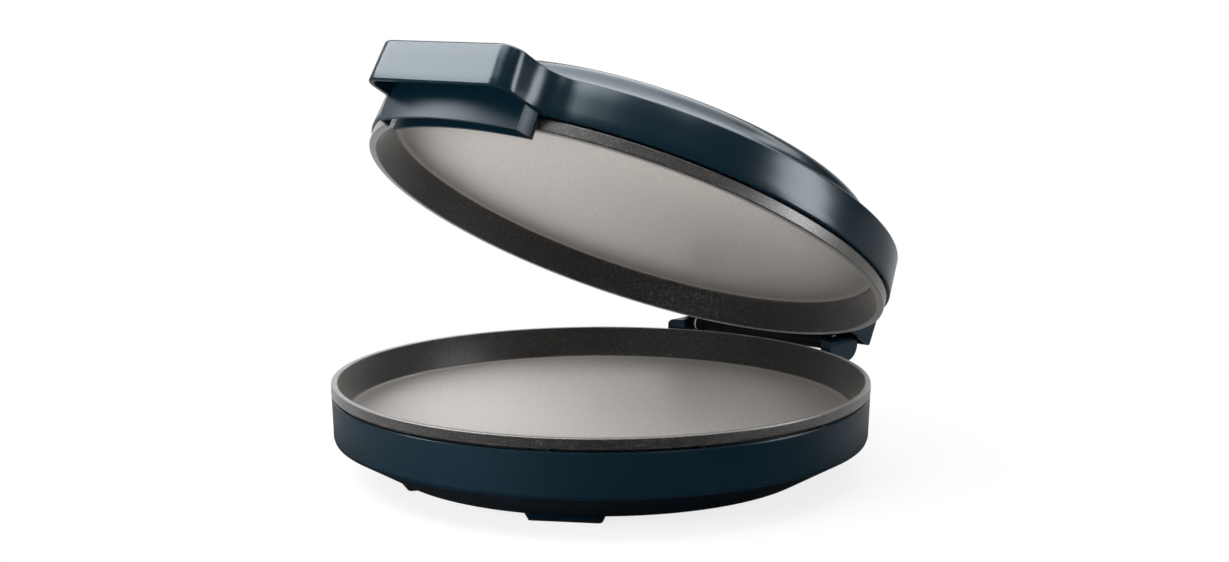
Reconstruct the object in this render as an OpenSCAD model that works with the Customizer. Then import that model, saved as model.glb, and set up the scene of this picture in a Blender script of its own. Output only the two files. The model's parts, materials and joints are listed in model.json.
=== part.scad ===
// Countertop pizza cooker: a round base pan and a hinged lid pan, each in its own moulded shell.
// Origin: centre of the base on the table top. +Z is up, -Y is the handle side, +Y the hinge side.
// The lid parts are drawn closed and then turned about the hinge pins by lid_open.

/* [Pose] */
// Opening angle of the lid, in degrees
lid_open = 29; // [0:1:90]

/* [Shells] */
// Wall thickness of the moulded shells
wall = 2.6; // [2.2:0.1:3]
// Outer radius of the base band at its top edge
band_r = 164.8; // [156:0.2:185]
// Height of the base band
band_h = 25.6; // [24:0.2:30]
// Height of the band's lower edge above the table
band_z = 24; // [23:0.5:28]
// Height of the flat underside of the bottom cover above the table
floor_z = 5; // [4:0.5:7]
// Slope of the bottom cover's side: sideways run for each unit of rise
bowl_slope = 1.75; // [1:0.05:1.9]
// Draft of each moulded band: how much its radius changes over its height
band_draft = 0.8; // [0.4:0.1:1.2]
// How far the lid band stands out beyond the base band
lid_overhang = 2.6; // [1.5:0.1:5]
// Height of the lid band
lid_band_h = 25.1; // [24:0.1:30]
// Width of the flat ledge on top of the lid band
ledge_w = 7; // [5:0.5:10]
// Radius of the hollow curve that rises from the ledge to the lid's crown
cove_r = 15.5; // [12:0.5:18]
// Rise of the crowned cap at its middle
crown_h = 2.4; // [1:0.2:5]

/* [Pans] */
// Width of each pan's rim face
rim_w = 3.8; // [3:0.1:5]
// Depth of each pan from its rim to its cooking floor
pan_depth = 19.4; // [16:0.2:21]
// How much narrower the cooking floor is than the rim opening, on the radius
pan_taper = 6.4; // [4:0.2:9]
// Thickness of the cast pan walls
pan_t = 3; // [2.6:0.1:3.4]
// Height of the lower pan's outer lip
lip_h = 6.2; // [4:0.1:8]
// Height of the upper pan's outer lip
lid_lip_h = 7.2; // [5:0.1:9]
// Gap between the two pan rims when the lid is shut
shut_gap = 0.4; // [0.2:0.1:2]
// Height of the small supports that carry the lower pan on the band
pip_h = 1.6; // [1:0.1:3]
// Number of small supports round the band
pip_count = 12; // [6:2:18]

/* [Handle] */
// Half the width of the handle
handle_w = 53.4; // [45:0.1:60]
// How far the handle's front face stands out from the lid band
handle_depth = 26.6; // [24:0.2:32]
// Radius of the handle's two front corners
handle_corner = 6; // [3:0.5:10]
// Radius of the curve where the handle meets the lid band
handle_blend = 25; // [16:0.5:28]
// Depth of the catch skirt below the lid band
skirt_drop = 14.8; // [10:0.2:16]
// Distance that the catch skirt stands out from the lower pan's rim
skirt_out = 15; // [11:0.1:17]
// Wall thickness of the catch skirt
skirt_t = 2; // [1.6:0.1:2.4]

/* [Hinge] */
// Distance from the base band to the hinge pins behind it
hinge_out = 8.6; // [8:0.1:12]
// Height of the hinge pins above the lower pan's rim
hinge_rise = 1.6; // [1:0.1:3]
// Radius of the hinge pins
pin_r = 2; // [1.5:0.1:2.5]
// Radius of the hinge barrel
barrel_r = 5.2; // [4.5:0.1:6]
// Half the distance between the outer faces of the two hinge ears
ear_x = 68; // [60:0.5:76]
// Thickness of each hinge ear
ear_t = 11; // [8:0.5:14]
// Radius of the rounded rear end of each hinge ear
ear_r = 10.8; // [9:0.2:12]
// Height of each ear's flat top above the hinge pins
ear_rise = 4.4; // [4:0.1:6]
// Radius of each ear's outer top corner
ear_corner = 3.5; // [1:0.5:5]
// Distance that the lid's tail box reaches behind the hinge pins
tail_reach = 21; // [19:0.5:26]

/* [Heating] */
// Radius of each heating ring, to the middle of its tube
element_r = 95; // [80:1:104]
// Radius of the heating tube
tube_r = 3.3; // [2.5:0.1:4]
// Distance from the edge of the cooking floor in to the pan screws
boss_inset = 36.8; // [34:0.2:44]
// Radius of each pan boss
boss_r = 5; // [4.5:0.1:6]
// Radius of the pan screws
screw_r = 2; // [1.5:0.1:2.2]
// Thickness of the heat shields
shield_t = 0.8; // [0.6:0.1:1.2]
// Distance from the edge of the cooking floor in to the heat shield's rim
shield_inset = 18.8; // [16:0.2:26]
// Height of the heat shield's turned-up rim
shield_rim = 9; // [7:0.2:10]

/* [Feet] */
// Distance from the edge of the flat underside in to the middle of the feet
foot_inset = 10.8; // [9:0.2:16]
// Angle of each foot from the front or back of the cooker
foot_angle = 31; // [25:1:45]
// Length of each foot
foot_l = 46; // [36:0.5:50]
// Width of each foot
foot_w = 15; // [12:0.5:16]
// Thickness of the soft pad under each foot
pad_t = 1.4; // [1:0.1:2]

/* [Cord inlet] */
// Radius of the bore for the mains cord
cord_r = 3.6; // [3:0.1:4.5]
// Angle of the cord inlet from the back of the cooker
inlet_angle = 35; // [32:1:60]
// Height of the cord inlet above the table
inlet_z = 36; // [36:0.5:38]

/* [Hidden] */
$fn = 64;
fit = 0.05;
clear = 0.3;
eps = 0.01;
band_top = band_z + band_h;
rim_z = band_top + pip_h + lip_h;
pan_r = band_r + 0.2;
lid_rim_z = rim_z + shut_gap;
lid_gap = 1.2;
lid_z = lid_rim_z + lid_lip_h + lid_gap;
lid_r = band_r + lid_overhang;
handle_reach = lid_r + handle_depth;
hinge_y = band_r + hinge_out;
hinge_z = rim_z + hinge_rise;
lid_pan_out = 0.8;
lid_top = lid_z + lid_band_h;
lid_top_r = lid_r - 2.4 * band_draft;
lid_inner_r = band_r + clear;
ceiling = lid_top - wall;
cove_foot = lid_top_r - ledge_w;
cap_r = cove_foot - cove_r;
crown_z = lid_top + 0.7 + cove_r + 1.2;
deck_z = crown_z - 6.5;
deck_t = 2.4;
pan_in = pan_r - rim_w;
floor_r = pan_in - pan_taper;
pan_floor = rim_z - pan_depth;
pan_under = pan_floor - pan_t;
lid_floor = lid_rim_z + pan_depth;
lid_back = lid_floor + pan_t;
shield_z = pan_under - 14.6;
boss_ring = floor_r - boss_inset;
shield_r = floor_r - shield_inset;
lid_shield_z = lid_back + 11.4;
cover_top_r = band_r - band_draft - 0.6;
bowl_r = cover_top_r - bowl_slope * (band_z - 0.8 - floor_z);
cover_in = floor_z + 2.4;
foot_ring = bowl_r - foot_inset;
ear_in = ear_x - ear_t;
washer_t = 0.8;
barrel_end = ear_in - washer_t - 0.2;
tail_x = ear_x + 1 + wall;
tail_y = hinge_y + tail_reach;
flange_z = hinge_z + 2.4 * barrel_r;
skirt_z = lid_z - skirt_drop;
skirt_r = pan_r + skirt_out;
skirt_back = pan_r + lid_pan_out + 0.6;
lug_x = handle_w * 0.57;
lens_ring = lid_top_r - 5.6;
lens_r = 2.2;
gland_w = 5;
gland_drop = inlet_z - band_z - 0.2;
block_h = shield_z - cover_in - 1;
block_l = 32;
block_w = 14;
clamp_h = block_h - 3;
block_ring = bowl_r - 15.6;
clamp_ring = boss_ring - 16;
ring_x = barrel_end - 6;
web_x = barrel_end - 4;
plate_x = barrel_end - 2;
flange_l = tail_reach - wall - 1.8;
flange_t = wall;

// Points of an arc from angle a to angle b.
function arc(x, y, r, a, b, n = 6) = [for (i = [0:n]) let (t = a + (b - a) * i / n) [x + r * cos(t), y + r * sin(t)]];

// Turns the closed lid about the hinge pins to its opening angle.
module on_lid() {
    translate([0, hinge_y, hinge_z]) rotate([-lid_open, 0, 0]) translate([0, -hinge_y, -hinge_z]) children();
}

// Puts a copy at each of the four pan screws.
module at_bosses() {
    for (a = [45:90:315]) rotate(a) translate([boss_ring, 0, 0]) children();
}

// Rounded bar outline centred on the origin.
module bar_2d(l, w, r) {
    hull() {
        for (x = [-1, 1]) {
            for (y = [-1, 1]) translate([x * (l / 2 - r), y * (w / 2 - r)]) circle(r, $fn = 24);
        }
    }
}

// ---------------------------------------------------------------- base

module ear_2d() {
    intersection() {
        union() {
            circle(ear_r);
            polygon([[-2.8 * ear_r, ear_rise], [0, ear_rise], [0, -ear_r], [-1.1 * ear_r, -1.1 * ear_r],
                [-2.8 * ear_r, -1.75 * ear_r]]);
        }
        translate([-4 * ear_r, -4 * ear_r]) square([8 * ear_r, 4 * ear_r + ear_rise]);
    }
}

// One hinge ear, with its front face following the pan's rim.
module ear() {
    difference() {
        translate([ear_in, hinge_y, hinge_z]) rotate([90, 0, 90]) linear_extrude(ear_t) ear_2d();
        cylinder(r = pan_r + lid_pan_out + 1.1, h = 200, $fn = 128);
    }
}

// What is cut away to round each ear's outer top corner.
module ear_edge() {
    x = ear_x - ear_corner;
    z = hinge_z + ear_rise - ear_corner;
    translate([0, hinge_y + 60, 0]) rotate([90, 0, 0]) linear_extrude(120) polygon(concat(
        arc(x, z, ear_corner, 0, 90, 6), [[x, z + ear_corner + 1], [ear_x + 1, z + ear_corner + 1], [ear_x + 1, z]]));
}

module ears() {
    difference() {
        for (s = [0, 1]) mirror([s, 0, 0]) {
            difference() {
                union() {
                    ear();
                    intersection() {
                        translate([ear_in, 100, band_z + 8])
                            cube([ear_t, 100, band_h - 8]);
                        translate([ear_in, hinge_y, hinge_z]) rotate([90, 0, 90]) linear_extrude(ear_t) ear_2d();
                        difference() {
                            cylinder(r = pan_r + lid_pan_out + 1.7, h = 200, $fn = 128);
                            cylinder(r = band_r - 1.5, h = 200, $fn = 128);
                        }
                    }
                }
                translate([ear_in - 1, hinge_y, hinge_z]) rotate([0, 90, 0]) cylinder(r = pin_r + fit, h = ear_t - 1);
                ear_edge();
            }
        }
    }
}

module base_housing() {
    inner_top = band_r - wall;
    inner_low = band_r - band_draft - wall;
    color("#10283a") difference() {
        union() {
            rotate_extrude($fn = 128) polygon(concat([
                [inner_low, band_z]],
                arc(band_r - band_draft - 1, band_z + 1, 1, -90, -2, 3),
                arc(band_r - 1, band_top - 1, 1, 0, 90, 4), [[inner_top, band_top]]));
            for (i = [0:pip_count - 1]) rotate(i * 360 / pip_count)
                translate([-2, 1.1 - band_r, band_top - 0.5]) cube([4, wall - 1.3, pip_h + 0.5]);
            ears();
        }
        gland_axis() translate([-gland_w - 0.2, -gland_w - 0.2, -20])
            cube([gland_w + inlet_z - band_z + 1.2, 2 * gland_w + 0.4, 40]);
    }
}

module bottom_cover() {
    lip_r = band_r - band_draft - wall - clear;
    side = band_z - 0.8 - floor_z;
    color("#0b1a26") difference() {
        union() {
            rotate_extrude($fn = 128) polygon([
                [0, floor_z], [bowl_r, floor_z], [cover_top_r, band_z - 0.8], [cover_top_r, band_z],
                [lip_r, band_z], [lip_r, band_z + 5], [lip_r - 2, band_z + 5], [lip_r - 2, band_z - 0.4],
                [bowl_r - 1.2, cover_in], [0, cover_in]]);
            at_bosses() translate([0, 0, cover_in - eps]) cylinder(r = boss_r + 2.4, h = shield_z - cover_in + eps);
        }
        at_bosses() {
            translate([0, 0, floor_z - 1]) cylinder(r = screw_r + 2.6, h = 8);
            cylinder(r = screw_r + 0.3, h = shield_z + 1);
        }
        for (s = [0:3]) for (k = [-3:3]) rotate(s * 90) translate([46, k * 7, floor_z - 1])
            linear_extrude(5) bar_slot(34, 3);
        for (f = [0:3]) at_foot(f) translate([0, 0, floor_z - 1]) cylinder(r = 3 + fit, h = 2.6);
    }
}

// Slot with round ends.
module bar_slot(l, w) {
    square([l - w, w], center = true);
    for (s = [-1, 1]) translate([s * (l - w) / 2, 0]) circle(w / 2, $fn = 24);
}

// Puts a child at one of the four feet, with its length along the rim.
module at_foot(f) {
    a = [-90 - foot_angle, -90 + foot_angle, 90 + foot_angle, 90 - foot_angle][f];
    rotate(a) translate([foot_ring, 0, 0]) rotate(90) children();
}

// Moulded foot with sloping ends and a locating peg.
module foot(f) {
    color("#15293a") at_foot(f) difference() {
        union() {
            hull() {
                translate([0, 0, floor_z - 1.4]) linear_extrude(1.4) bar_2d(foot_l, foot_w, 4);
                translate([0, 0, pad_t]) linear_extrude(0.2) bar_2d(foot_l - 2.4, foot_w - 2, 3);
            }
            translate([0, 0, floor_z - eps]) cylinder(r = 3, h = 1.2);
        }
    }
}

module foot_pad(f) {
    color("#1a1a1c") at_foot(f) linear_extrude(pad_t) bar_2d(foot_l - 3.6, foot_w - 3, 2.5);
}

// Cast pan, drawn with its rim face at z = 0 and its floor going down.
module pan_shape(lip, out) {
    rotate_extrude($fn = 128) polygon(concat(
        arc(pan_r + out - 0.8, -0.8, 0.8, 0, 90, 3),
        arc(pan_in + 0.8, -0.8, 0.8, 90, 160, 3),
        arc(floor_r + 0.4, -pan_depth + 1.6, 1.6, -20, -90, 4),
        [[0, -pan_depth], [0, -pan_depth - pan_t]],
        [[floor_r + 0.6, -pan_depth - pan_t], [floor_r + 2.8, -pan_depth - pan_t + 2.2],
         [pan_in + 0.4, -lip]],
        arc(pan_r + out - 0.6, 0.6 - lip, 0.6, -90, 0, 3)));
}

module lower_pan() {
    color("#4b4947") difference() {
        union() {
            translate([0, 0, rim_z]) pan_shape(lip_h, 0);
            at_bosses() translate([0, 0, shield_z + shield_t]) cylinder(r = boss_r, h = pan_under - shield_z - shield_t + 1);
        }
        at_bosses() translate([0, 0, shield_z - 1]) cylinder(r = screw_r + fit, h = pan_under - shield_z - 1);
    }
}

module upper_pan() {
    color("#4b4947") on_lid() difference() {
        union() {
            translate([0, 0, lid_rim_z]) mirror([0, 0, 1]) pan_shape(lid_lip_h, lid_pan_out);
            at_bosses() translate([0, 0, lid_back - 1]) cylinder(r = boss_r, h = lid_shield_z - lid_back + 1);
        }
        at_bosses() translate([0, 0, lid_back + 2]) cylinder(r = screw_r + fit, h = lid_shield_z - lid_back);
    }
}

// Open ring of heating tube with two cold pins, its middle at z = 0.
module element_ring() {
    rotate(100) rotate_extrude(angle = 340, $fn = 96) translate([element_r, 0]) circle(tube_r, $fn = 32);
    for (s = [-1, 1]) rotate(90 + s * 10) translate([element_r, -s * 9, 0]) rotate([90, 0, 0])
        cylinder(r = 1.3, h = 18.4, center = true, $fn = 24);
}

module lower_element() {
    color("#8a8c8e") translate([0, 0, pan_under - tube_r - 0.1]) element_ring();
}

module upper_element() {
    color("#8a8c8e") on_lid() translate([0, 0, lid_back + tube_r + 0.1]) element_ring();
}

// Heat shield dish with its base at z = 0 and its rim turned up.
module shield_shape() {
    difference() {
        rotate_extrude($fn = 128) polygon([
            [0, 0], [shield_r - 4, 0], [shield_r, 4], [shield_r, shield_rim], [shield_r - shield_t, shield_rim],
            [shield_r - shield_t, 4.4], [shield_r - 4.4, shield_t], [0, shield_t]]);
        at_bosses() translate([0, 0, -1]) cylinder(r = screw_r + 0.3, h = 4);
        translate([0, 0, -1]) cylinder(r = 24, h = 4);
        for (a = [0:45:315]) rotate(a + 22.5) translate([62, 0, -1]) cylinder(r = 6, h = 4);
    }
}

module lower_heat_shield() {
    color("#b4b6b8") translate([0, 0, shield_z]) shield_shape();
}

module upper_heat_shield() {
    color("#b4b6b8") on_lid() translate([0, 0, lid_shield_z + shield_t]) mirror([0, 0, 1]) shield_shape();
}

// Disc thermostat that touches the pan's back at z = 0 and hangs down.
module thermostat_shape() {
    translate([0, 0, -3]) cylinder(r = 8, h = 3);
    translate([0, 0, -8]) cylinder(r = 7, h = 5.2);
    translate([-12, -3.5, -3]) cube([24, 7, 0.8]);
    for (s = [-1, 1]) translate([s * 9 - 3, -3, -7]) cube([6, 6, 0.8]);
}

module lower_thermostat() {
    color("#d9d4c8") translate([30, 0, pan_under - 0.1]) thermostat_shape();
}

module upper_thermostat() {
    color("#d9d4c8") on_lid() translate([30, 0, lid_back + 0.1]) mirror([0, 0, 1]) thermostat_shape();
}

// Thermal fuse in its sleeve, lying against the pan's back at z = 0.
module fuse_shape() {
    translate([-9, 0, -2.4]) rotate([0, 90, 0]) cylinder(r = 2.4, h = 18, $fn = 32);
    translate([-16, 0, -2.4]) rotate([0, 90, 0]) cylinder(r = 0.6, h = 32, $fn = 24);
}

module lower_thermal_fuse() {
    color("#e8e4d8") translate([0, 46, pan_under - 0.1]) fuse_shape();
}

module upper_thermal_fuse() {
    color("#e8e4d8") on_lid() translate([0, 46, lid_back + 0.1]) mirror([0, 0, 1]) fuse_shape();
}

// Pan-head screw, head at z = 0 and shank going up.
module screw(r, l) {
    translate([0, 0, -r * 1.2]) cylinder(r = r * 2, h = r * 1.2);
    difference() {
        translate([0, 0, -eps]) cylinder(r = r, h = l + eps);
        translate([0, 0, l - 1]) difference() {
            cylinder(r = r + 1, h = 2);
            translate([0, 0, -0.5]) cylinder(r1 = r + 0.5, r2 = r - 1, h = 2);
        }
    }
}

module bottom_screws() {
    color("#9a9c9e") at_bosses() translate([0, 0, floor_z + 7 - fit]) screw(screw_r, pan_under - floor_z - 11);
}

module upper_pan_screws() {
    color("#9a9c9e") on_lid() at_bosses() translate([0, 0, deck_z + deck_t + fit]) mirror([0, 0, 1])
        screw(screw_r, deck_z + deck_t - lid_back - 3);
}

// Local frame of the cord inlet: z runs outward along the bore, 0 at the band's outer face.
module gland_axis() {
    rotate(90 + inlet_angle) translate([band_r - band_draft / 2, 0, inlet_z]) rotate([0, 90, 0]) children();
}

module cord_gland() {
    color("#161618") gland_axis() difference() {
        union() {
            translate([0, 0, 0.3]) cylinder(r1 = 7.4, r2 = 6, h = 4);
            translate([0, 0, 0.3]) linear_extrude(1.5) {
                circle(7.2);
                translate([0, -7.2]) square([gland_drop, 14.4]);
            }
            translate([0, 0, -wall - 2]) cylinder(r = 6.4, h = 1.6);
            translate([-gland_w, -gland_w, -wall - 0.5]) cube([gland_w + gland_drop, 2 * gland_w, wall + 1]);
        }
        translate([0, 0, -20]) cylinder(r = cord_r, h = 40);
    }
}

// Places inside the base near the cord inlet, on the floor of the bottom cover.
module near_inlet(a, r) {
    rotate(90 + inlet_angle + a) translate([r, 0, cover_in]) children();
}

module terminal_block() {
    color("#e6e2d6") near_inlet(23, block_ring) difference() {
        translate([-block_w / 2, -block_l / 2, 0]) cube([block_w, block_l, block_h]);
        for (y = [-10, 0, 10]) translate([0, y, block_h * 0.42]) cylinder(r = 2, h = block_h, $fn = 24);
        for (y = [-10, 0, 10]) translate([-block_w, y, block_h / 2]) rotate([0, 90, 0])
            cylinder(r = 2.4, h = 2 * block_w, $fn = 24);
    }
}

module cord_clamp() {
    color("#161618") near_inlet(0, clamp_ring) difference() {
        translate([-5, -15, 0]) cube([10, 30, clamp_h]);
        translate([-8, 0, 3]) rotate([0, 90, 0]) cylinder(r = cord_r, h = 16);
        translate([-8, -cord_r, -1]) cube([16, 2 * cord_r, 4]);
        for (y = [-10.5, 10.5]) translate([0, y, -1]) cylinder(r = 1.5 + fit, h = 12, $fn = 24);
    }
}

module cord_clamp_screws() {
    color("#9a9c9e") near_inlet(0, clamp_ring) {
        for (y = [-10.5, 10.5]) translate([0, y, clamp_h + fit]) mirror([0, 0, 1]) screw(1.5, clamp_h - 0.6);
    }
}

module base_wires() {
    color("#b8b2a4") for (k = [0, 1]) rotate(90 + inlet_angle + 32) translate([0, 0, cover_in + 1.3])
        rotate_extrude(angle = 150, $fn = 96) translate([boss_ring - 12 - 4 * k, 0]) circle(1.2, $fn = 24);
}

module lid_wires() {
    color("#b8b2a4") on_lid() for (k = [0, 1]) rotate(120) translate([0, 0, lid_shield_z + shield_t + 1.3])
        rotate_extrude(angle = 200, $fn = 96) translate([element_r + 1 - 4 * k, 0]) circle(1.2, $fn = 24);
}

// ---------------------------------------------------------------- hinge

module hinge_pin(s) {
    color("#a8aaac") translate([s * (ear_x - 2.2), hinge_y, hinge_z]) rotate([0, -s * 90, 0])
        cylinder(r = pin_r, h = ear_t + 8, $fn = 48);
}

module hinge_washers() {
    color("#c8c4ba") for (s = [-1, 1]) translate([s * (ear_in - 0.1), hinge_y, hinge_z]) rotate([0, -s * 90, 0])
        difference() {
            cylinder(r = barrel_r - 0.2, h = washer_t);
            translate([0, 0, -1]) cylinder(r = pin_r + 0.1, h = 3);
        }
}

module hinge_bracket() {
    color("#141416") on_lid() difference() {
        union() {
            translate([-barrel_end, hinge_y, hinge_z]) rotate([0, 90, 0]) cylinder(r = barrel_r, h = 2 * barrel_end);
            for (x = [-ring_x, 0, ring_x]) translate([x - 1.25, hinge_y, hinge_z]) rotate([0, 90, 0])
                cylinder(r = barrel_r + 1.1, h = 2.5);
            for (x = [-web_x, 0, web_x]) translate([x - 0.75 * wall, hinge_y - 3, hinge_z])
                cube([1.5 * wall, flange_l - wall, flange_z - hinge_z + 1]);
            translate([-web_x, hinge_y - 2.6, hinge_z + 1]) cube([2 * web_x, wall + 0.4, flange_z - hinge_z]);
            translate([-plate_x, hinge_y - barrel_r + 1.8, flange_z])
                cube([2 * plate_x, flange_l + barrel_r - 1.8, flange_t]);
        }
        translate([-ear_x, hinge_y, hinge_z]) rotate([0, 90, 0]) cylinder(r = pin_r + fit, h = 2 * ear_x, $fn = 48);
        at_hinge_screws() translate([0, 0, flange_z - 1]) cylinder(r = 1.9, h = 5, $fn = 32);
    }
}

module at_hinge_screws() {
    for (x = [-0.74, -0.3, 0.3, 0.74]) translate([x * plate_x, hinge_y + flange_l * 0.6, 0]) children();
}

module hinge_screws() {
    color("#9a9c9e") on_lid() at_hinge_screws() translate([0, 0, flange_z - fit]) screw(1.6, 13);
}

// ---------------------------------------------------------------- lid

// Filled outline of the handle, as big as d more than its outer faces.
module handle_2d(d) {
    w = handle_w + d;
    r = handle_corner + d;
    reach = handle_reach + d;
    difference() {
        union() {
            translate([-w, -reach + r]) square([2 * w, reach - r - 120]);
            translate([-w + r, -reach]) square([2 * (w - r), r + 1]);
            for (s = [-1, 1]) translate([s * (w - r), -reach + r]) circle(r, $fn = 48);
        }
    }
}

// Corner piece that leads each side of the handle into the band.
module blend_2d() {
    t = lid_top_r - 0.6;
    x0 = handle_w + handle_blend;
    y0 = -sqrt((t + handle_blend) * (t + handle_blend) - x0 * x0);
    a1 = 180;
    a2 = atan2(-y0, -x0);
    polygon(concat(arc(x0, y0, handle_blend, a1, a2, 7), [[handle_w - 1, y0 + 30], [handle_w - 1, y0]]));
}

module tail_2d(d) {
    w = tail_x + d;
    y = tail_y + d;
    r = 3 + d;
    translate([-w, 120]) square([2 * w, y - r - 120]);
    translate([-w + r, 120]) square([2 * (w - r), y - 120]);
    for (s = [-1, 1]) translate([s * (w - r), y - r]) circle(r, $fn = 48);
}

module lid_solid() {
    rotate_extrude($fn = 128) polygon(concat(
        [[0, lid_z]],
        arc(lid_r - 0.6, lid_z + 0.6, 0.6, -90, -1, 3),
        arc(lid_top_r - 1, lid_top - 1, 1, 5, 80, 3),
        arc(cove_foot, lid_top + 0.7 + cove_r, cove_r, 270, 180, 8),
        [[cap_r, crown_z - 0.4], [cap_r - 0.4, crown_z], [0, crown_z]]));
}

module lid_hollow() {
    rotate_extrude($fn = 128) polygon(concat(
        [[0, lid_z - 1], [lid_inner_r, lid_z - 1], [lid_inner_r, lid_z + 4], [lid_top_r - wall - 0.2, ceiling],
         [cove_foot, ceiling + 0.4]],
        arc(cove_foot, lid_top + 0.7 + cove_r, cove_r + wall, 265, 205, 5),
        [[cap_r - wall + 1.4, deck_z], [0, deck_z]]));
}

module at_skirt_screws() {
    for (x = [-lug_x, lug_x]) translate([x, -handle_reach + 12, 0]) children();
}

module at_lights() {
    for (s = [-1, 1]) rotate(s * 4.5) translate([0, -lens_ring, 0]) children();
}

module lid_housing() {
    color("#10283a") on_lid() difference() {
        union() {
            difference() {
                union() {
                    lid_solid();
                    translate([0, 0, lid_z]) linear_extrude(lid_band_h) handle_2d(0);
                    translate([0, 0, lid_z]) linear_extrude(lid_band_h) blend_2d();
                    translate([0, 0, lid_z]) linear_extrude(lid_band_h) mirror([1, 0]) blend_2d();
                    translate([0, 0, lid_z]) linear_extrude(lid_band_h) tail_2d(0);
                }
                lid_hollow();
                translate([0, 0, lid_z - 1]) linear_extrude(ceiling - lid_z + 1) difference() {
                    union() {
                        handle_2d(-wall);
                        tail_2d(-wall);
                    }
                    circle(lid_r + eps, $fn = 128);
                }
                translate([0, 0, deck_z + deck_t]) cylinder(r = cap_r - 2, h = 20, $fn = 128);
                translate([0, 0, deck_z - 1]) cylinder(r = 96, h = 20, $fn = 96);
            }
            at_bosses() translate([0, 0, lid_shield_z + shield_t]) cylinder(r = boss_r, h = deck_z - lid_shield_z - shield_t + 1);
            at_skirt_screws() translate([0, 0, lid_top - 7.5]) cylinder(r = 3.6, h = 6, $fn = 48);
            at_hinge_screws() translate([0, 0, flange_z + flange_t]) cylinder(r = 4, h = ceiling - flange_z - flange_t + 1, $fn = 48);
        }
        at_bosses() translate([0, 0, lid_shield_z]) cylinder(r = screw_r + 0.3, h = 40);
        at_skirt_screws() translate([0, 0, lid_top - 8]) cylinder(r = 1.4 + fit, h = 6, $fn = 32);
        at_hinge_screws() translate([0, 0, flange_z]) cylinder(r = 1.6 + fit, h = 14, $fn = 32);
        at_lights() translate([0, 0, ceiling - 2]) cylinder(r = lens_r + fit, h = 20, $fn = 32);
    }
}

module lid_cap() {
    r = cap_r - 2 - clear;
    color("#10283a") on_lid() rotate_extrude($fn = 128) polygon([
        [0, crown_z + crown_h], [r * 0.25, crown_z + crown_h * 0.94], [r * 0.5, crown_z + crown_h * 0.75],
        [r * 0.75, crown_z + crown_h * 0.44], [r - 0.5, crown_z + 0.1], [r, crown_z - 0.4],
        [r, deck_z + deck_t + fit], [r - 2, deck_z + deck_t + fit], [r - 2, crown_z - 2],
        [r * 0.5, crown_z + crown_h * 0.75 - 2.1], [0, crown_z + crown_h - 2.2]]);
}

// Wall that follows the circle of radius r, t thick, kept within x = -w to w.
module front_wall_2d(r, t, w) {
    intersection() {
        difference() {
            circle(r, $fn = 128);
            circle(r - t, $fn = 128);
        }
        translate([-w, -r - 1]) square([2 * w, 40]);
    }
}

// Side tab of the skirt: it carries on the handle's side and the start of the blend below the band.
module skirt_side_2d(t) {
    x0 = handle_w + handle_blend;
    y0 = -sqrt(pow(lid_top_r - 0.6 + handle_blend, 2) - x0 * x0);
    ye = -sqrt(skirt_r * skirt_r - handle_w * handle_w);
    yb = ye + 9.4;
    function side_x(y, r) = (y < y0) ? x0 - r : x0 - sqrt(r * r - (y - y0) * (y - y0));
    steps = [for (i = [0:6]) ye + (yb - ye) * i / 6];
    polygon(concat([for (y = steps) [side_x(y, handle_blend), y]],
        [for (i = [6:-1:0]) [side_x(steps[i], handle_blend + t), steps[i] + (i == 0 ? t * 0.5 : 0)]]));
}

module catch_skirt() {
    top = ceiling - 0.1;
    in_w = handle_w - wall - 0.4;
    color("#10283a") on_lid() difference() {
        union() {
            translate([0, 0, skirt_z]) linear_extrude(top - skirt_z) front_wall_2d(skirt_r, skirt_t, in_w);
            translate([0, 0, skirt_z]) linear_extrude(lid_z - skirt_z - 0.1) {
                front_wall_2d(skirt_r, skirt_t, handle_w);
                front_wall_2d(skirt_back + skirt_t - 0.4, skirt_t - 0.4, handle_w);
                skirt_side_2d(skirt_t);
                mirror([1, 0]) skirt_side_2d(skirt_t);
            }
            translate([0, 0, lid_z - 2.1]) linear_extrude(2)
                front_wall_2d(skirt_r - 0.2, skirt_r - skirt_back - 0.4, handle_w - 0.6);
            for (x = [-lug_x, lug_x]) translate([x - 5, -handle_reach + 7, lid_top - 10])
                cube([10, handle_reach - skirt_r - 2.4, 2.4]);
        }
        at_skirt_screws() translate([0, 0, lid_top - 11]) cylinder(r = 1.7, h = 5, $fn = 32);
    }
}

module skirt_screws() {
    color("#9a9c9e") on_lid() at_skirt_screws() translate([0, 0, lid_top - 10 - fit]) screw(1.4, 7);
}

// Small round lens that snaps into the lid's ledge from inside.
module light(s) {
    on_lid() rotate(s * 4.5) translate([0, -lens_ring, 0]) {
        translate([0, 0, ceiling - 1.2]) cylinder(r = lens_r, h = wall + 2.6, $fn = 32);
        translate([0, 0, ceiling - 1.2]) cylinder(r = lens_r + 0.5, h = 1, $fn = 32);
    }
}

module power_light() {
    color("#c83020") light(-1);
}

module ready_light() {
    color("#30a050") light(1);
}

module lamp_bodies() {
    color("#e8e4dc") on_lid() at_lights() translate([0, 0, ceiling - 8.3]) cylinder(r = lens_r, h = 7, $fn = 32);
}

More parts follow.
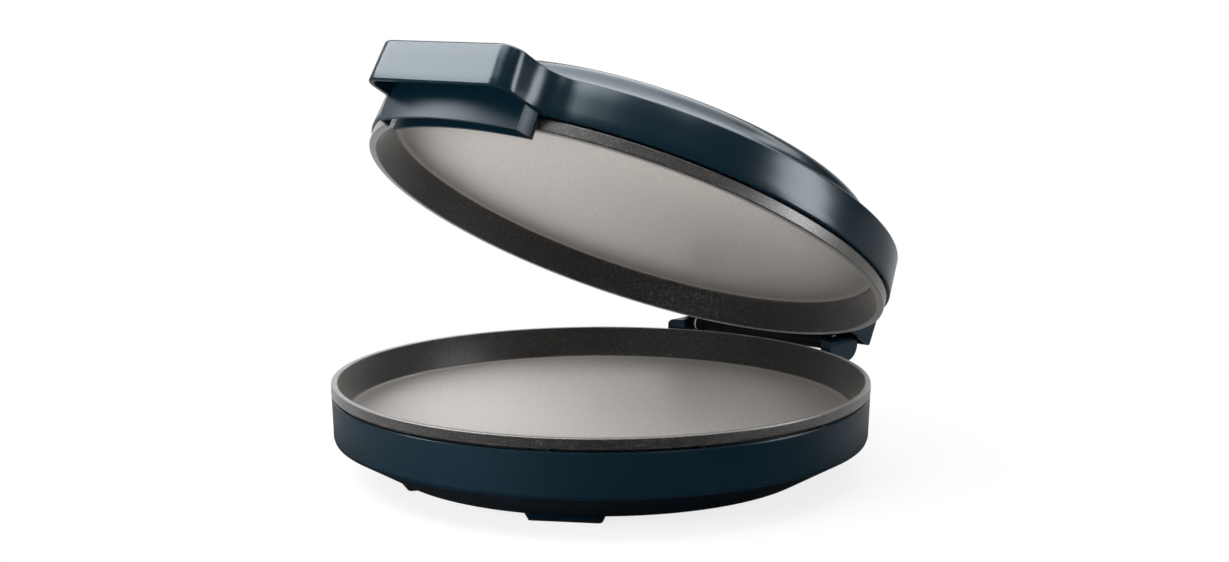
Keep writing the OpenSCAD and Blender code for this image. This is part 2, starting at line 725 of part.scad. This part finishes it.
base_housing();
bottom_cover();
foot(0);  // foot_front_left
foot(1);  // foot_front_right
foot(2);  // foot_rear_left
foot(3);  // foot_rear_right
foot_pad(0);  // pad_front_left
foot_pad(1);  // pad_front_right
foot_pad(2);  // pad_rear_left
foot_pad(3);  // pad_rear_right
lower_pan();
lower_element();
lower_heat_shield();
lower_thermostat();
lower_thermal_fuse();
bottom_screws();
terminal_block();
cord_gland();
cord_clamp();
cord_clamp_screws();
base_wires();
hinge_pin(-1);  // hinge_pin_left
hinge_pin(1);  // hinge_pin_right
hinge_washers();
lid_housing();
lid_cap();
catch_skirt();
skirt_screws();
hinge_bracket();
hinge_screws();
upper_pan();
upper_element();
upper_heat_shield();
upper_thermostat();
upper_thermal_fuse();
upper_pan_screws();
power_light();
ready_light();
lamp_bodies();
lid_wires();
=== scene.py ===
"""Electric pizza maker: finishes, the lid's mouldings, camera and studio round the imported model.

Metres with +Z up, apart from the lid's mouldings, which are drawn in millimetres.
"""
import json
import math

import bmesh
import bpy
from mathutils import Matrix, Vector


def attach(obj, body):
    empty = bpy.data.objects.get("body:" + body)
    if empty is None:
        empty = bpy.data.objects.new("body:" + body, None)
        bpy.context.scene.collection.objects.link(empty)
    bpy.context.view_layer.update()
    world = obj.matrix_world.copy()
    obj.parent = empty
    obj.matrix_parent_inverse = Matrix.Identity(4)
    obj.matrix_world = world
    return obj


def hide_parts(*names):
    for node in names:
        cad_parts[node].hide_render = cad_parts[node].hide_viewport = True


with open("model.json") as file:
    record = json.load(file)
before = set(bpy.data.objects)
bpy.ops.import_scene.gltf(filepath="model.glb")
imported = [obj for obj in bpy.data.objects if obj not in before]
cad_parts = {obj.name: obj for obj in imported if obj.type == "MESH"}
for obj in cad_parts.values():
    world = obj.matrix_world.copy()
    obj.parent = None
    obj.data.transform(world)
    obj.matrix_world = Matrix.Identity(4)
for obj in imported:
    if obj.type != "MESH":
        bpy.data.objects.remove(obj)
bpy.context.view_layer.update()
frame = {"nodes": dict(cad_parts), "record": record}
MM = 0.001


# ---------------------------------------------------------------- helpers

def hex_colour(code):
    """sRGB hex such as '1f2a3a' to the linear RGBA that shaders take."""
    values = [int(code[i:i + 2], 16) / 255 for i in (0, 2, 4)]
    return [v / 12.92 if v <= 0.04045 else ((v + 0.055) / 1.055) ** 2.4 for v in values] + [1.0]


def new_material(name, **sockets):
    """A named material whose Principled shader has these sockets set."""
    mat = bpy.data.materials.new(name)
    mat.use_nodes = True
    shader = mat.node_tree.nodes["Principled BSDF"]
    for key, value in sockets.items():
        shader.inputs[key.replace("_", " ")].default_value = value
    return mat, mat.node_tree, shader


def add_node(tree, kind, inputs=(), stops=(), **settings):
    """Adds a node with its settings.

    inputs pairs each input with a value or with another node's output. stops are the (position,
    hex colour) pairs of a colour ramp.
    """
    made = tree.nodes.new(kind)
    for key, value in settings.items():
        setattr(made, key, value)
    for socket, value in inputs:
        if isinstance(value, bpy.types.NodeSocket):
            tree.links.new(value, made.inputs[socket])
        else:
            made.inputs[socket].default_value = value
    for _ in stops[2:]:
        made.color_ramp.elements.new(0.5)
    for i, (position, code) in enumerate(stops):
        made.color_ramp.elements[i].position = position
        made.color_ramp.elements[i].color = hex_colour(code)
    return made


# ---------------------------------------------------------------- materials

CLOUD = 60 * MM  # width of the faint drifts of colour in a moulding
SPARK = 0.9 * MM  # grain of the mould, drawn a little coarser than it is so that it shows
FLECK = 0.6 * MM  # mineral flecks in the coat
SPRAY = 0.8 * MM  # orange peel of the sprayed coat
DRAWN = 0.6 * MM  # lines of the drawn or pressed steel


def moulded_skin(name, dark, light, roughness, tint=(1, 1, 1, 1), gloss=0.5):
    """Moulded plastic: an even colour that drifts a little from dark to light, under a skin with
    the fine grain of its mould, which softens the edges of what it mirrors. The pressed ceramic
    and the sleeves inside have such a skin too, paler and duller."""
    mat, tree, shader = new_material(name, IOR=1.53, Specular_Tint=tint, Specular_IOR_Level=gloss)
    place = add_node(tree, "ShaderNodeTexCoord").outputs["Object"]
    cloud = add_node(tree, "ShaderNodeTexNoise",
                     [("Vector", place), ("Scale", 1 / CLOUD), ("Detail", 2.0)])
    colour = add_node(tree, "ShaderNodeValToRGB", [("Fac", cloud.outputs["Fac"])],
                      stops=[(0.3, dark), (0.7, light)])
    tree.links.new(colour.outputs["Color"], shader.inputs["Base Color"])
    grain = add_node(tree, "ShaderNodeTexNoise",
                     [("Vector", place), ("Scale", 1 / SPARK), ("Detail", 3.0)])
    rough = add_node(tree, "ShaderNodeMapRange",
                     [("Value", grain.outputs["Fac"]), ("To Min", roughness - 0.01),
                      ("To Max", roughness + 0.02)])
    tree.links.new(rough.outputs["Result"], shader.inputs["Roughness"])
    bump = add_node(tree, "ShaderNodeBump",
                    [("Height", grain.outputs["Fac"]), ("Strength", 0.02), ("Distance", 0.05 * MM)])
    tree.links.new(bump.outputs["Normal"], shader.inputs["Normal"])
    return mat


PALE_RINGS_REACH = 170 * MM  # distance from the middle of a cooking floor that stands for 1 in PALE_AND_SHADE_RINGS
# How far the coat is painted pale, from the middle of the floor out: all of it, less towards
# the wall as painted shade, a lighter fillet at the foot of the wall as a painted highlight, and
# next to nothing on the rim.
PALE_AND_SHADE_RINGS = [(0.62, "ffffff"), (0.75, "e0e0e0"), (0.875, "858585"), (0.89, "8a8a8a"),
             (0.9, "c8c8c8"), (0.925, "c8c8c8"), (0.945, "343434")]
COAT_WALL, COAT_FLECK = "131211", "716d69"
# Pale greys of the cooking floor: partly wear, partly a painted reflection.
COAT_PALE_FLOOR = ["958f8a", "a6a09b", "b4aea9"]


def coated_casting(name, axis, centre):
    """Sprayed non-stick coat on die-cast aluminium.

    Near black with fine flecks on the walls and rim, and a paler, stonier grey over the middle of
    the cooking floor that is partly wear and partly a painted reflection of the bright room, which
    the floor mirrors at a flat angle; towards the wall the pale is faded out as painted shade, and
    a painted highlight runs along the fillet at its foot. A glaze and a powdery sheen catch the
    light at a flat angle. axis points from the cooking floor into the casting, and centre is the
    middle of that floor.
    """
    mat, tree, shader = new_material(
        name, IOR=1.7, Coat_Weight=1.0, Coat_Roughness=0.34, Coat_IOR=1.5,
        Sheen_Weight=0.25, Sheen_Roughness=0.45, Sheen_Tint=(1, 0.96, 0.92, 1))
    coords = add_node(tree, "ShaderNodeTexCoord").outputs
    place = coords["Object"]
    # Pale, as wear and painted reflection, where a face looks out of the pan: wholly within 14
    # degrees, not at all past 31.
    facing = add_node(tree, "ShaderNodeVectorMath", [(0, coords["Normal"]), (1, axis)],
                      operation="DOT_PRODUCT")
    level = add_node(tree, "ShaderNodeMapRange",
                     [("Value", facing.outputs["Value"]), ("From Min", -0.86), ("From Max", -0.97)])
    out = add_node(tree, "ShaderNodeVectorMath", [(0, place), (1, centre)], operation="DISTANCE")
    share = add_node(tree, "ShaderNodeMath", [(0, out.outputs["Value"]), (1, PALE_RINGS_REACH)],
                     operation="DIVIDE")
    rings = add_node(tree, "ShaderNodeValToRGB", [("Fac", share.outputs[0])], stops=PALE_AND_SHADE_RINGS)
    # Share of the pale grey: the facing times the rings, so wear and painted reflection on the
    # floor, and painted shade towards the wall.
    pale_share = add_node(tree, "ShaderNodeMath",
                    [(0, level.outputs["Result"]), (1, rings.outputs["Color"])],
                    operation="MULTIPLY")
    # Each cell of the grit draws one number: it picks a grey, and makes few of the cells flecks.
    cells = add_node(tree, "ShaderNodeTexVoronoi", [("Vector", place), ("Scale", 1 / FLECK)])
    pick = add_node(tree, "ShaderNodeSeparateColor", [("Color", cells.outputs["Color"])]).outputs[0]
    grit = add_node(tree, "ShaderNodeMath", [(0, pick), (1, cells.outputs["Distance"])],
                    operation="SUBTRACT")
    fresh = add_node(tree, "ShaderNodeValToRGB", [("Fac", grit.outputs[0])],
                     stops=[(0.42, COAT_WALL), (0.6, COAT_FLECK)])
    pale_floor = add_node(tree, "ShaderNodeValToRGB", [("Fac", pick)],
                      stops=list(zip((0.15, 0.5, 0.85), COAT_PALE_FLOOR)))
    colour = add_node(tree, "ShaderNodeMix",
                      [(0, pale_share.outputs[0]), (6, fresh.outputs["Color"]),
                       (7, pale_floor.outputs["Color"])], data_type="RGBA")
    tree.links.new(colour.outputs[2], shader.inputs["Base Color"])
    grain = add_node(tree, "ShaderNodeTexNoise",
                     [("Vector", place), ("Scale", 1 / SPRAY), ("Detail", 4.0)])
    rough = add_node(tree, "ShaderNodeMapRange",
                     [("Value", grain.outputs["Fac"]), ("To Min", 0.3), ("To Max", 0.46)])
    tree.links.new(rough.outputs["Result"], shader.inputs["Roughness"])
    bump = add_node(tree, "ShaderNodeBump",
                    [("Height", grain.outputs["Fac"]), ("Strength", 0.25), ("Distance", 0.06 * MM)])
    tree.links.new(bump.outputs["Normal"], shader.inputs["Normal"])
    return mat


def worked_steel(name, colour, roughness):
    """Bare metal as drawn or pressed: fine lines that are duller and brighter by turns."""
    mat, tree, shader = new_material(name, Metallic=1.0, Base_Color=hex_colour(colour))
    place = add_node(tree, "ShaderNodeTexCoord").outputs["Object"]
    lines = add_node(tree, "ShaderNodeTexNoise",
                     [("Vector", place), ("Scale", 1 / DRAWN), ("Detail", 2.0)])
    rough = add_node(tree, "ShaderNodeMapRange",
                     [("Value", lines.outputs["Fac"]), ("To Min", roughness - 0.05),
                      ("To Max", roughness + 0.08)])
    tree.links.new(rough.outputs["Result"], shader.inputs["Roughness"])
    return mat


# Lid and base mouldings: ABS in one navy. A polished, lightly sparked mould gives a satin skin
# that shows lamps as soft bands, a coarser spark dulls the catch skirt, and a textured mould
# keeps the flat top of the cap from mirroring the ceiling. The cool tint is the navy in the skin.
NAVY_DARK, NAVY_LIGHT, NAVY_TINT = "04161f", "051923", (0.8, 0.92, 1, 1)
navy_abs = moulded_skin("navy_satin_abs", NAVY_DARK, NAVY_LIGHT, 0.23, NAVY_TINT)
navy_spark = moulded_skin("navy_spark_finish_abs", NAVY_DARK, NAVY_LIGHT, 0.38, NAVY_TINT)
cap_abs = moulded_skin("navy_textured_abs", NAVY_DARK, NAVY_LIGHT, 0.5, NAVY_TINT, 0.2)
# Bottom cover and feet: the same plastic from an unpolished mould, nearly black where it turns
# under, with little gloss.
cover_abs = moulded_skin("navy_black_abs", "04131f", "051723", 0.4, (0.7, 0.88, 1, 1), 0.2)
# Hinge bracket and cord fittings: glass-filled nylon, dull black with a haze from the fibres.
black_nylon = moulded_skin("black_glass_filled_nylon", "0a0a0b", "0f0f11", 0.45)
# Foot pads: moulded silicone, black and without gloss.
soft_rubber = moulded_skin("black_silicone_rubber", "101012", "151517", 0.7)
# Thermostats, terminal block, lamp bodies and washers: pressed, unglazed off-white.
pale_ceramic = moulded_skin("steatite_ceramic", "d8d2c4", "e2dccf", 0.55)
# Fuses and wires: a dry, chalky sleeve.
woven_sleeve = moulded_skin("glass_fibre_sleeve", "cfc8b8", "dcd6c8", 0.8)
# Lights: polished acrylic, dyed through.
red_lens = moulded_skin("red_tinted_acrylic", "8a0a08", "a01010", 0.1)
green_lens = moulded_skin("green_tinted_acrylic", "0a6a20", "108030", 0.1)
# Each pan has its own coat, since the pale floor, with its painted reflection and painted shade,
# lies in its own place and faces its own way.
lower_coat = coated_casting("non_stick_coat_lower", (0, 0, -1), (0, 0, 0.038))
upper_coat = coated_casting("non_stick_coat_upper", (0, 0.48481, 0.87462), (0, 0.03056, 0.15899))
# Screws and pins: zinc plate, half bright. Heating tubes: steel dulled by heat. Shields: bright
# pressed sheet.
plated_steel = worked_steel("zinc_plated_steel", "a8a8a8", 0.35)
tube_steel = worked_steel("heater_sheath_steel", "6f6d6a", 0.5)
shield_sheet = worked_steel("pressed_aluminised_sheet", "b8babc", 0.3)

SLOT_FINISH = {
    "shell": navy_abs, "cover": cover_abs, "foot": cover_abs, "pad": soft_rubber,
    "cast_pan": lower_coat, "heating_tube": tube_steel, "shield": shield_sheet,
    "ceramic": pale_ceramic, "sleeve": woven_sleeve, "screw": plated_steel,
    "black_moulding": black_nylon, "pin": plated_steel, "washer": pale_ceramic,
    "red_lens": red_lens, "green_lens": green_lens, "lamp": pale_ceramic}
NODE_FINISH = {"upper_pan": upper_coat, "catch_skirt": navy_spark, "lid_cap": cap_abs}
for entry in frame["record"]["subparts"]:
    finish = NODE_FINISH.get(entry["node"], SLOT_FINISH[entry["material_slot"]])
    slots = frame["nodes"][entry["node"]].data.materials
    slots.clear()
    slots.append(finish)


# ---------------------------------------------------------------- lid mouldings

# Millimetres with the lid shut, as the solid parts have them. Radii and reaches are from the
# middle of the pans, and heights from the table.
HINGE = Vector((0, 173.4, 59.0))
LID_OPEN = math.radians(29)
WALL = 2.6
LID_Z, LID_TOP = 66.2, 91.3  # lower and upper edge of the band
CEILING = LID_TOP - WALL
LID_R, LID_DRAFT, MOUTH_R = 167.4, 1.92, 165.1
HANDLE_HALF, HANDLE_DRAFT, HANDLE_REACH, HANDLE_CORNER, HANDLE_BLEND = 54.5, 1.9, 194.0, 11, 26
TAIL_HALF, TAIL_REACH, TAIL_CORNER = 71.6, 194.4, 3
LOW_EDGE, TOP_EDGE, LEDGE = 0.9, 1.7, 2.4  # roundings of the band's edges, and the ledge's start
COVE_FOOT, COVE_R, CAP_R, CROWN_Z, CROWN_H = 158.48, 15.5, 142.98, 108.7, 2.4
COVE_Z = LID_TOP + 0.7 + COVE_R
# The hollow cove stops LEAN degrees short of upright and meets the rounding of the crown there.
# The rounding runs over the joint between the shell and the cap, which is JOINT degrees up it.
LEAN, CROWN_ROUND, JOINT = 15, 7.03, 52.5
ROUND_X = COVE_FOOT - (COVE_R + CROWN_ROUND) * math.cos(math.radians(LEAN))
ROUND_Z = COVE_Z - (COVE_R + CROWN_ROUND) * math.sin(math.radians(LEAN))
DECK_TOP, DECK_LOW, DECK_HOLE = 104.6, 102.2, 96  # the plate that the cap sits on
HANDLE_POCKET, TAIL_POCKET = (50.8, 191.4, 8.4, -1), (69, 191.8, 0.6, 1)
# Bosses as (x, y, radius, foot, top): for the catch skirt, the hinge bracket and the upper pan.
BOSSES = ([(side * 30.44, -182, 3.6, 83.8, CEILING) for side in (-1, 1)]
          + [(share * 54, 183.36, 4, 74.1, CEILING) for share in (-0.74, -0.3, 0.3, 0.74)]
          + [(x * 83.44, y * 83.44, 5, 92.4, 103) for x in (-1, 1) for y in (-1, 1)])


def arc(x, y, r, start, end, steps):
    """Points of an arc between two angles in degrees."""
    angles = [math.radians(start + (end - start) * i / steps) for i in range(steps + 1)]
    return [(x + r * math.cos(a), y + r * math.sin(a)) for a in angles]


def line(a, b, steps):
    """Points of a straight run from a to b."""
    return [(a[0] + (b[0] - a[0]) * i / steps, a[1] + (b[1] - a[1]) * i / steps)
            for i in range(steps + 1)]


def both_sides(half):
    """Closes the right half of an outline, front to back, with its mirror image."""
    clean = [p for i, p in enumerate(half) if i == 0 or math.dist(p, half[i - 1]) > 1e-4]
    return clean + [(-x, y) for x, y in reversed(clean) if abs(x) > 1e-6]


def lid_outline(up, inset):
    """Outline of the lid shell at a share up of the band's height, moved in by inset: the
    handle's drafted sides run through one large hollow curve into the band."""
    r = LID_R - LID_DRAFT * up - inset
    w = HANDLE_HALF - HANDLE_DRAFT * up - inset
    front, corner, blend = HANDLE_REACH - inset, HANDLE_CORNER - inset, HANDLE_BLEND + inset
    x0 = w + blend
    y0 = -math.sqrt((r + blend) ** 2 - x0 * x0)
    meet = math.degrees(math.atan2(-y0, -x0))
    tail_w, tail_y = TAIL_HALF - inset, TAIL_REACH - inset
    tail_c = TAIL_CORNER - min(inset, TAIL_CORNER - 0.5)
    tail_meet = math.degrees(math.acos(tail_w / r))
    return both_sides(
        line((0, -front), (w - corner, -front), 10)
        + arc(w - corner, corner - front, corner, -90, 0, 14)
        + line((w, corner - front), (w, y0), 4)
        + arc(x0, y0, blend, 180, meet, 20)
        + arc(0, 0, r, meet - 180, tail_meet, 100)
        + line((tail_w, math.sqrt(r * r - tail_w * tail_w)), (tail_w, tail_y - tail_c), 6)
        + arc(tail_w - tail_c, tail_y - tail_c, tail_c, 0, 90, 6)
        + line((tail_w - tail_c, tail_y), (0, tail_y), 12))


def pocket_outline(w, reach, corner, side):
    """Outline of the hollow in the handle (side -1) or in the tail (side 1), up to the band."""
    r = LID_R + 0.1
    back = math.sqrt(r * r - w * w)
    half = arc(0, 0, r, 90, math.degrees(math.atan2(back, w)), 14)
    half += line((w, back), (w, reach - corner), 4)
    half += arc(w - corner, reach - corner, corner, 0, 90, 8)
    half += line((w - corner, reach), (0, reach), 6)
    return [(x, side * y) for x, y in both_sides(half)]


def ring(bm, points, z):
    """Vertices along a closed outline at one height."""
    return [bm.verts.new((x, y, z)) for x, y in points]


def skin(bm, a, b):
    """Quads between two rings of the same count."""
    for i in range(len(a)):
        j = (i + 1) % len(a)
        bm.faces.new((a[i], a[j], b[j], b[i]))


def flat_fill(bm, *loops):
    """Fills the flat region between closed loops of vertices."""
    edges = []
    for loop in loops:
        for i in range(len(loop)):
            pair = (loop[i - 1], loop[i])
            edges.append(bm.edges.get(pair) or bm.edges.new(pair))
    bmesh.ops.triangle_fill(bm, edges=edges, use_beauty=True, use_dissolve=False)


def lid_moulding(bm, name, mat):
    """Makes the object: turned about the hinge with the lid, to metres, smooth but for edges."""
    bmesh.ops.recalc_face_normals(bm, faces=bm.faces)
    mesh = bpy.data.meshes.new(name)
    bm.to_mesh(mesh)
    bm.free()
    opened = Matrix.Rotation(-LID_OPEN, 4, "X")
    mesh.transform(Matrix.Translation(HINGE) @ opened @ Matrix.Translation(-HINGE))
    mesh.transform(Matrix.Scale(MM, 4))
    for face in mesh.polygons:
        face.use_smooth = True
    mesh.set_sharp_from_angle(angle=math.radians(30))
    mesh.materials.append(mat)
    piece = bpy.data.objects.new(name, mesh)
    bpy.context.scene.collection.objects.link(piece)
    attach(piece, "lid")
    return piece


def lid_shell():
    """The lid's one moulding: drafted band and handle, ledge, cove and crown outside, pockets
    and bosses inside."""
    bm = bmesh.new()
    # Outside of the band, as (inset, height) from its lower edge up to the ledge.
    band = arc(LOW_EDGE, LID_Z + LOW_EDGE, LOW_EDGE, -90, -180, 4)
    band += [(0, LID_Z + 6), (0, LID_Z + 15)]
    band += arc(TOP_EDGE, LID_TOP - TOP_EDGE, TOP_EDGE, 180, 90, 6)
    band += [(LEDGE, LID_TOP + 0.01)]
    rings = [ring(bm, lid_outline((z - LID_Z) / (LID_TOP - LID_Z), inset), z) for inset, z in band]
    angles = [math.atan2(v.co.y, v.co.x) for v in rings[-1]]
    # Round part, as (radius, height): the cove and the crown's rounding, the deck under the cap,
    # then the inside of the cove, the ceiling over the pan and the mouth.
    turned = [(COVE_FOOT + 0.6, LID_TOP + 0.66)]
    turned += arc(COVE_FOOT, COVE_Z, COVE_R, 270, 180 + LEAN, 16)
    turned += arc(ROUND_X, ROUND_Z, CROWN_ROUND, LEAN, JOINT, 8)[1:]
    turned += [(CAP_R - 2, DECK_TOP), (DECK_HOLE, DECK_TOP), (DECK_HOLE, DECK_LOW),
               (CAP_R - WALL + 1.4, DECK_LOW)]
    turned += arc(COVE_FOOT, COVE_Z, COVE_R + WALL, 205, 265, 6)
    turned += [(COVE_FOOT, CEILING + 0.4), (LID_R - LID_DRAFT - WALL - 0.2, CEILING),
               (MOUTH_R, LID_Z + 4), (MOUTH_R, LID_Z)]
    rings += [ring(bm, [(r * math.cos(a), r * math.sin(a)) for a in angles], z) for r, z in turned]
    for a, b in zip(rings, rings[1:]):
        skin(bm, a, b)
    pockets = [pocket_outline(*sizes) for sizes in (HANDLE_POCKET, TAIL_POCKET)]
    mouths = [ring(bm, points, LID_Z) for points in pockets]
    roofs = [ring(bm, points, CEILING) for points in pockets]
    for mouth, roof in zip(mouths, roofs):
        skin(bm, mouth, roof)
        flat_fill(bm, roof)
    flat_fill(bm, rings[0], rings[-1], *mouths)
    for x, y, r, foot, top in BOSSES:
        foot_ring, top_ring = (ring(bm, arc(x, y, r, 0, 345, 23), z) for z in (foot, top))
        skin(bm, foot_ring, top_ring)
        bm.faces.new(foot_ring)
    piece = lid_moulding(bm, "lid_shell", navy_abs)
    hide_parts("lid_housing")


def lid_crown_cap():
    """The crowned disc set into the lid; its edge carries on the rounding of the crown."""
    bm = bmesh.new()
    # As (radius, height): the low dome and its rounded edge, then the rim that stands on the deck
    # and the hollow underside.
    seat, floor_z = CAP_R - 2.05, DECK_TOP + 0.1
    turned = [(ROUND_X * i / 12, CROWN_Z + CROWN_H * (1 - (i / 12) ** 2)) for i in range(1, 12)]
    turned += arc(ROUND_X, ROUND_Z, CROWN_ROUND, 88, JOINT + 0.6, 10)
    turned += [(seat, floor_z), (seat - 2, floor_z), (seat - 2, CROWN_Z - WALL),
               (ROUND_X / 2, CROWN_Z - 0.3), (20, CROWN_Z + 0.2)]
    rings = [ring(bm, arc(0, 0, r, 0, 358, 179), z) for r, z in turned]
    for a, b in zip(rings, rings[1:]):
        skin(bm, a, b)
    flat_fill(bm, rings[0])
    flat_fill(bm, rings[-1])
    piece = lid_moulding(bm, "lid_crown_cap", cap_abs)
    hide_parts("lid_cap")


lid_shell()
lid_crown_cap()


# ---------------------------------------------------------------- camera and lamps

# Three-quarter view of the open lid, 40 degrees round from the handle and 9 degrees up.
BACK = Vector((0.63438, -0.75683, 0.15747))
TARGET = Vector((6.3, 5.3, 115.9)) * MM
CAMERA_REACH = 1.161
camera = bpy.data.objects.new("camera", bpy.data.cameras.new("camera"))
bpy.context.scene.collection.objects.link(camera)
camera.location = TARGET + BACK * CAMERA_REACH
camera.rotation_mode = "QUATERNION"
camera.rotation_quaternion = (-BACK).to_track_quat("-Z", "Y")
camera.data.sensor_width = 36
camera.data.lens = 55.55
camera.data.clip_start = 0.01
bpy.context.scene.camera = camera


def area_lamp(name, place, aim, size, power, diffuse=True, gloss=True):
    """A soft rectangular lamp at place, turned towards aim; size is its width and height. One
    that lights only diffuse or only shows in gloss stands for a card that does the other badly."""
    data = bpy.data.lights.new(name, "AREA")
    data.shape = "RECTANGLE"
    data.size, data.size_y = size
    data.energy = power
    lamp = bpy.data.objects.new(name, data)
    bpy.context.scene.collection.objects.link(lamp)
    lamp.location = place
    lamp.rotation_mode = "QUATERNION"
    lamp.rotation_quaternion = (Vector(aim) - Vector(place)).to_track_quat("-Z", "Y")
    lamp.visible_diffuse = diffuse
    lamp.visible_glossy = gloss


# Main light from the front left, and the card that draws the bright band at the lid's right.
area_lamp("key_soft", (-0.944, -0.595, 1.216), (0, -0.05, 0.2), (0.9, 0.9), 20)
area_lamp("right_soft", (1.39, 0.67, 0.49), (0.1, 0, 0.15), (0.58, 0.68), 10)
area_lamp("right_high", (1.06, 1.06, 1.09), (0.1, 0, 0.15), (0.6, 0.5), 4.5, diffuse=False)
# Fills that reach into the pans and show in no gloss.
area_lamp("front_low", (0.0, -0.74, 0.26), (0, 0, 0.18), (0.5, 0.2), 4.6, gloss=False)
area_lamp("top_fill", (0.15, 0.35, 1.6), (0, 0, 0.1), (1.0, 1.0), 12, gloss=False)
# Ceiling that the crown and the tops of the mouldings mirror.
area_lamp("ceiling_left", (-0.25, 0.38, 1.5), (-0.25, 0.38, 0), (1.5, 2.45), 58, diffuse=False)
area_lamp("ceiling_right", (0.85, 0.6, 1.5), (0.85, 0.6, 0), (0.75, 2.0), 15, diffuse=False)
# Small light over the handle.
area_lamp("front_soft", (-0.11, -0.77, 1.4), (0, 0, 0.15), (0.7, 0.5), 3.8)


# ---------------------------------------------------------------- room and floor

# Level directions: to the back of the room, and to its right side.
AWAY, RIGHT = (-0.642, 0.767, 0), (0.906, -0.423, 0)
WHITE = (1, 1, 1, 1)
AMBIENT = 0.35  # even light from all round, for matt surfaces
FLOOR_HALF = 6


def between(tree, value, low, high, dim, bright):
    """Runs smoothly from dim where value is low to bright where it is high."""
    return add_node(tree, "ShaderNodeMapRange",
                    [("Value", value), ("From Min", low), ("From Max", high), ("To Min", dim),
                     ("To Max", bright)], interpolation_type="SMOOTHSTEP").outputs["Result"]


def towards(tree, place, way, low, high, dim, bright):
    """Runs smoothly from dim at low to bright at high, along the level direction way."""
    along = add_node(tree, "ShaderNodeVectorMath", [(0, place), (1, way)], operation="DOT_PRODUCT")
    return between(tree, along.outputs["Value"], low, high, dim, bright)


def combine(tree, a, b, operation):
    """One number from two, by a sum, a product or the larger of them."""
    return add_node(tree, "ShaderNodeMath", [(0, a), (1, b)], operation=operation).outputs[0]


def seen_white(tree, ray, glossy):
    """Strength of white: full to the camera and through glass, glossy where it is mirrored."""
    direct = combine(tree, ray["Is Camera Ray"], ray["Is Transmission Ray"], "MAXIMUM")
    mirrored = combine(tree, ray["Is Glossy Ray"], glossy, "MULTIPLY")
    return combine(tree, direct, mirrored, "MAXIMUM")


def white_room():
    """World that looks white, mirrors as a dark room with a bright back, and fills softly."""
    world = bpy.data.worlds.new("white_room")
    bpy.context.scene.world = world
    world.use_nodes = True
    tree = world.node_tree
    sky = add_node(tree, "ShaderNodeTexCoord").outputs["Generated"]
    ray = add_node(tree, "ShaderNodeLightPath").outputs
    white = seen_white(tree, ray, towards(tree, sky, AWAY, 0.45, 1.0, 0.02, 0.85))
    fill = combine(tree, ray["Is Diffuse Ray"], AMBIENT, "MULTIPLY")
    background = tree.nodes["Background"].inputs
    background["Color"].default_value = WHITE
    tree.links.new(combine(tree, fill, white, "MAXIMUM"), background["Strength"])


def paper_floor():
    """White paper under the pizza maker, with its shadow close by.

    In gloss it is bright only far behind and well to the left, and dark under the base as a painted
    shadow in what the mouldings mirror, so that they keep their deep colour.
    """
    mesh = bpy.data.meshes.new("studio_floor")
    corners = [(-FLOOR_HALF, -FLOOR_HALF, 0), (FLOOR_HALF, -FLOOR_HALF, 0),
               (FLOOR_HALF, FLOOR_HALF, 0), (-FLOOR_HALF, FLOOR_HALF, 0)]
    mesh.from_pydata(corners, [], [(0, 1, 2, 3)])
    floor = bpy.data.objects.new("studio_floor", mesh)
    bpy.context.scene.collection.objects.link(floor)
    mat, tree, paper = new_material("matt_white_paper", Base_Color=hex_colour("f4f4f4"),
                                    Roughness=0.9, Specular_IOR_Level=0.1)
    place = add_node(tree, "ShaderNodeTexCoord").outputs["Object"]
    reach = add_node(tree, "ShaderNodeVectorMath", [(0, place)], operation="LENGTH")
    reach = reach.outputs["Value"]
    # The bearing from the base, a little short of 1 long, so that it is smooth under the middle.
    shrink = combine(tree, 1.0, combine(tree, reach, 0.1, "ADD"), "DIVIDE")
    bearing = add_node(tree, "ShaderNodeVectorMath", [(0, place), ("Scale", shrink)],
                       operation="SCALE").outputs["Vector"]
    behind = towards(tree, bearing, AWAY, 0.43, 0.85, 0, 0.42)
    aside = towards(tree, bearing, RIGHT, 0.3, 0.72, 0.26, 0)
    # Painted shadow under the base, in the floor's gloss only.
    shade = between(tree, reach, 0.17, 0.27, 0.15, 1.0)
    lit = combine(tree, combine(tree, behind, aside, "ADD"), shade, "MULTIPLY")
    ray = add_node(tree, "ShaderNodeLightPath").outputs
    glow = add_node(tree, "ShaderNodeEmission",
                    [("Color", WHITE), ("Strength", seen_white(tree, ray, lit))])
    fade = between(tree, reach, 0.12, 0.34, 0.8, 1.0)
    seen = combine(tree, ray["Is Camera Ray"], fade, "MULTIPLY")
    mirrored = combine(tree, ray["Is Glossy Ray"], ray["Is Transmission Ray"], "MAXIMUM")
    mixed = add_node(tree, "ShaderNodeMixShader",
                     [(0, combine(tree, seen, mirrored, "MAXIMUM")), (1, paper.outputs[0]),
                      (2, glow.outputs[0])])
    tree.links.new(mixed.outputs[0], tree.nodes["Material Output"].inputs["Surface"])
    mesh.materials.append(mat)


white_room()
paper_floor()

bpy.context.scene.view_settings.view_transform = "Standard"
